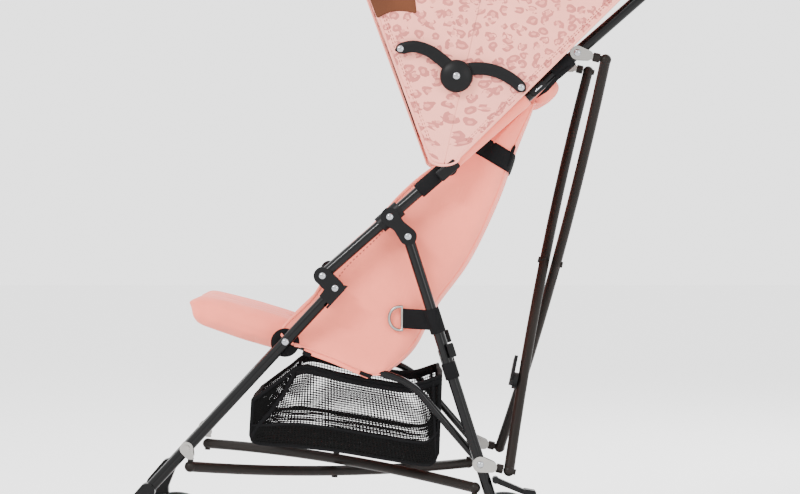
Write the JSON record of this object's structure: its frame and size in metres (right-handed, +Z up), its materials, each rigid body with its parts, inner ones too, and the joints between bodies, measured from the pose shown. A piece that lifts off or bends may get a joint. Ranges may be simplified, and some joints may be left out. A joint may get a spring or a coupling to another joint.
{
  "type": "baby stroller",
  "caption": "Folding umbrella stroller with a fabric seat, leg rest, hooded canopy, mesh basket, swivel front wheels and rear cross bars.",
  "frame": {"origin": "on the floor, at the middle of the box over the stroller", "axes": "+Z up, -Y the way the stroller is pushed, +X to its own left"},
  "size_m": [0.4612, 0.903, 1.0309],
  "materials": {
    "gloss_black": "gloss black powder coat",
    "matte_black": "matte black-brown",
    "black_plastic": "moulded, fine grain",
    "grip_foam": "soft foam",
    "tyre": "matte",
    "chrome": "polished domed heads",
    "nickel": "plated steel",
    "red_plastic": "moulded",
    "canopy_print": "pale pink cloth with an animal-spot print",
    "pink_fabric": "salmon woven polyester",
    "mesh": "open black mesh with bound edges"
  },
  "bodies": {
    "left_front": {"left_front_leg": "gloss_black", "left_knee_bracket": "black_plastic", "left_caster_housing": "black_plastic", "left_front_fasteners": "chrome", "leg_rest": "pink_fabric"},
    "right_front": {"right_front_leg": "gloss_black", "right_knee_bracket": "black_plastic", "right_caster_housing": "black_plastic", "right_front_fasteners": "chrome"},
    "left_upper": {"left_push_tube": "gloss_black", "left_hip_bracket": "black_plastic", "left_handle_grip": "grip_foam", "left_top_bracket": "nickel", "left_upper_fasteners": "chrome", "seat_back": "pink_fabric", "canopy_rear_cloth": "canopy_print"},
    "left_rear": {"left_rear_leg": "gloss_black", "left_axle_housing": "black_plastic", "left_rear_fasteners": "chrome"},
    "left_rail": {"left_seat_rail": "gloss_black", "seat_base": "pink_fabric", "basket": "mesh"},
    "left_knuckle": {"left_rear_knuckle": "nickel"},
    "left_floor_end": {"left_floor_knuckle": "nickel"},
    "left_caster": {"left_caster_fork": "black_plastic"},
    "left_front_wheels": {"left_front_tyres": "tyre", "left_front_rims": "black_plastic"},
    "left_rear_wheels": {"left_rear_tyres": "tyre", "left_rear_rims": "black_plastic"},
    "left_brake": {"left_brake_lever": "red_plastic"},
    "left_spreader_front_arm": {"left_spreader_front": "black_plastic"},
    "left_spreader_rear_arm": {"left_spreader_rear": "black_plastic"},
    "right_upper": {"right_push_tube": "gloss_black", "right_hip_bracket": "black_plastic", "right_handle_grip": "grip_foam", "right_top_bracket": "nickel", "right_upper_fasteners": "chrome"},
    "right_rear": {"right_rear_leg": "gloss_black", "right_axle_housing": "black_plastic", "right_rear_fasteners": "chrome"},
    "right_rail": {"right_seat_rail": "gloss_black"},
    "right_knuckle": {"right_rear_knuckle": "nickel"},
    "right_floor_end": {"right_floor_knuckle": "nickel"},
    "right_caster": {"right_caster_fork": "black_plastic"},
    "right_front_wheels": {"right_front_tyres": "tyre", "right_front_rims": "black_plastic"},
    "right_rear_wheels": {"right_rear_tyres": "tyre", "right_rear_rims": "black_plastic"},
    "right_brake": {"right_brake_lever": "red_plastic"},
    "right_spreader_front_arm": {"right_spreader_front": "black_plastic"},
    "right_spreader_rear_arm": {"right_spreader_rear": "black_plastic"},
    "rear_bar_front": {"rear_bar_front": "matte_black"},
    "rear_bar_back": {"rear_bar_back": "matte_black"},
    "floor_bar_lower": {"floor_bar_lower": "matte_black"},
    "floor_bar_upper": {"floor_bar_upper": "matte_black"},
    "canopy_front": {"canopy_bow": "black_plastic", "canopy_front_cloth": "canopy_print"},
    "lock_pedal": {"lock_pedal": "black_plastic"},
    "transport_hook": {"transport_hook": "black_plastic"}
  },
  "joints": [
    {"name": "fold", "type": "hinge", "parent": "left_front", "child": "left_upper", "pos_m": [0.19, -0.142, 0.489], "axis": [1, 0, 0], "range_deg": [0, 150], "deforming": ["seat_back", "seat_base", "leg_rest", "basket", "canopy_front_cloth", "canopy_rear_cloth", "canopy_bow"]},
    {"name": "width_slide", "type": "slide", "parent": "left_front", "child": "right_front", "axis": [1, 0, 0], "range_m": [0, 0.22654]},
    {"name": "right_fold", "type": "hinge", "parent": "right_front", "child": "right_upper", "pos_m": [-0.19, -0.142, 0.489], "axis": [1, 0, 0], "range_deg": [0, 150.6]},
    {"name": "left_rear_leg_hinge", "type": "hinge", "parent": "left_upper", "child": "left_rear", "pos_m": [0.19, -0.02066, 0.54472], "axis": [1, 0, 0], "range_deg": [-57.52, 0]},
    {"name": "left_rail_hinge", "type": "hinge", "parent": "left_front", "child": "left_rail", "pos_m": [0.19, -0.19466, 0.39519], "axis": [1, 0, 0], "range_deg": [0, 75.71]},
    {"name": "left_rear_knuckle_hinge", "type": "hinge", "parent": "left_rear", "child": "left_knuckle", "pos_m": [0.19, 0.08184, 0.22159], "axis": [1, 0, 0], "range_deg": [0, 29.45]},
    {"name": "left_floor_knuckle_hinge", "type": "hinge", "parent": "left_front", "child": "left_floor_end", "pos_m": [0.19, -0.33463, 0.24404], "axis": [1, 0, 0], "range_deg": [0, 49]},
    {"name": "right_rear_leg_hinge", "type": "hinge", "parent": "right_upper", "child": "right_rear", "pos_m": [-0.19, -0.02066, 0.54472], "axis": [1, 0, 0], "range_deg": [-57.52, 0]},
    {"name": "right_rail_hinge", "type": "hinge", "parent": "right_front", "child": "right_rail", "pos_m": [-0.19, -0.19466, 0.39519], "axis": [1, 0, 0], "range_deg": [0, 75.71]},
    {"name": "right_rear_knuckle_hinge", "type": "hinge", "parent": "right_rear", "child": "right_knuckle", "pos_m": [-0.19, 0.08184, 0.22159], "axis": [1, 0, 0], "range_deg": [0, 29.45]},
    {"name": "right_floor_knuckle_hinge", "type": "hinge", "parent": "right_front", "child": "right_floor_end", "pos_m": [-0.19, -0.33463, 0.24404], "axis": [1, 0, 0], "range_deg": [0, 49]},
    {"name": "rear_bar_swing", "type": "hinge", "parent": "left_knuckle", "child": "rear_bar_front", "pos_m": [0.19, 0.12273, 0.21197], "axis": [0, -0.9734, 0.229], "range_deg": [-19.89, 0]},
    {"name": "rear_scissor", "type": "hinge", "parent": "rear_bar_front", "child": "rear_bar_back", "pos_m": [0, 0.19138, 0.50376], "axis": [0, -0.9734, 0.229], "range_deg": [0, 39.77]},
    {"name": "floor_bar_swing", "type": "hinge", "parent": "left_floor_end", "child": "floor_bar_lower", "pos_m": [0.19, -0.33003, 0.21795], "axis": [0, 0.0746, 0.9972], "range_deg": [-27.13, 0]},
    {"name": "floor_scissor", "type": "hinge", "parent": "floor_bar_lower", "child": "floor_bar_upper", "pos_m": [0, -0.1279, 0.20282], "axis": [0, 0.0746, 0.9972], "range_deg": [0, 54.25]},
    {"name": "canopy_fold", "type": "hinge", "parent": "left_upper", "child": "canopy_front", "pos_m": [0.19, 0.03821, 0.64144], "axis": [1, 0, 0], "range_deg": [-33, 0]},
    {"name": "left_spreader_front_hinge", "type": "hinge", "parent": "canopy_front", "child": "left_spreader_front_arm", "pos_m": [0.19, -0.03139, 0.80954], "axis": [1, 0, 0], "range_deg": [-46.55, 0]},
    {"name": "left_spreader_rear_hinge", "type": "hinge", "parent": "left_upper", "child": "left_spreader_rear_arm", "pos_m": [0.19, 0.13891, 0.75524], "axis": [1, 0, 0], "range_deg": [0, 22.12]},
    {"name": "right_spreader_front_hinge", "type": "hinge", "parent": "canopy_front", "child": "right_spreader_front_arm", "pos_m": [-0.19, -0.03139, 0.80954], "axis": [1, 0, 0], "range_deg": [-46.55, 0]},
    {"name": "right_spreader_rear_hinge", "type": "hinge", "parent": "right_upper", "child": "right_spreader_rear_arm", "pos_m": [-0.19, 0.13891, 0.75524], "axis": [1, 0, 0], "range_deg": [0, 22.12]},
    {"name": "left_caster_swivel", "type": "hinge", "parent": "left_front", "child": "left_caster", "pos_m": [0.19, -0.40784, 0.15526], "axis": [0, 0, 1], "continuous": true},
    {"name": "left_front_wheel_roll", "type": "hinge", "parent": "left_caster", "child": "left_front_wheels", "pos_m": [0.19, -0.38184, 0.07], "axis": [1, 0, 0], "continuous": true},
    {"name": "left_rear_wheel_roll", "type": "hinge", "parent": "left_rear", "child": "left_rear_wheels", "pos_m": [0.19, 0.12992, 0.07], "axis": [1, 0, 0], "continuous": true},
    {"name": "left_brake", "type": "hinge", "parent": "left_rear", "child": "left_brake", "pos_m": [0.19, 0.14692, 0.108], "axis": [1, 0, 0], "range_deg": [-22, 0]},
    {"name": "right_caster_swivel", "type": "hinge", "parent": "right_front", "child": "right_caster", "pos_m": [-0.19, -0.40784, 0.15526], "axis": [0, 0, 1], "continuous": true},
    {"name": "right_front_wheel_roll", "type": "hinge", "parent": "right_caster", "child": "right_front_wheels", "pos_m": [-0.19, -0.38184, 0.07], "axis": [1, 0, 0], "continuous": true},
    {"name": "right_rear_wheel_roll", "type": "hinge", "parent": "right_rear", "child": "right_rear_wheels", "pos_m": [-0.19, 0.12992, 0.07], "axis": [1, 0, 0], "continuous": true},
    {"name": "right_brake", "type": "hinge", "parent": "right_rear", "child": "right_brake", "pos_m": [-0.19, 0.14692, 0.108], "axis": [1, 0, 0], "range_deg": [-22, 0]},
    {"name": "lock_pedal_press", "type": "hinge", "parent": "left_knuckle", "child": "lock_pedal", "pos_m": [0.19, 0.10365, 0.19913], "axis": [1, 0, 0], "range_deg": [-20, 0]},
    {"name": "hook_turn", "type": "hinge", "parent": "rear_bar_front", "child": "transport_hook", "pos_m": [0.11237, 0.15078, 0.33118], "axis": [0, -0.9734, 0.229], "range_deg": [-60, 60]}
  ],
  "couplings": [
    {"joint": "width_slide", "follows": "fold", "m_per_rad": 0.086186},
    {"joint": "right_fold", "follows": "fold", "ratio": 1},
    {"joint": "left_rear_leg_hinge", "follows": "fold", "ratio": -0.38197},
    {"joint": "left_rail_hinge", "follows": "fold", "ratio": 0.50274},
    {"joint": "left_rear_knuckle_hinge", "follows": "fold", "ratio": 0.19558},
    {"joint": "left_floor_knuckle_hinge", "follows": "fold", "ratio": 0.32535},
    {"joint": "right_rear_leg_hinge", "follows": "fold", "ratio": -0.38197},
    {"joint": "right_rail_hinge", "follows": "fold", "ratio": 0.50274},
    {"joint": "right_rear_knuckle_hinge", "follows": "fold", "ratio": 0.19558},
    {"joint": "right_floor_knuckle_hinge", "follows": "fold", "ratio": 0.32535},
    {"joint": "rear_bar_swing", "follows": "fold", "ratio": -0.13205},
    {"joint": "rear_scissor", "follows": "fold", "ratio": 0.2641},
    {"joint": "floor_bar_swing", "follows": "fold", "ratio": -0.18012},
    {"joint": "floor_scissor", "follows": "fold", "ratio": 0.36025},
    {"joint": "left_spreader_front_hinge", "follows": "canopy_fold", "ratio": 1.4049},
    {"joint": "left_spreader_rear_hinge", "follows": "canopy_fold", "ratio": -0.66761},
    {"joint": "right_spreader_front_hinge", "follows": "canopy_fold", "ratio": 1.4049},
    {"joint": "right_spreader_rear_hinge", "follows": "canopy_fold", "ratio": -0.66761}
  ]
}
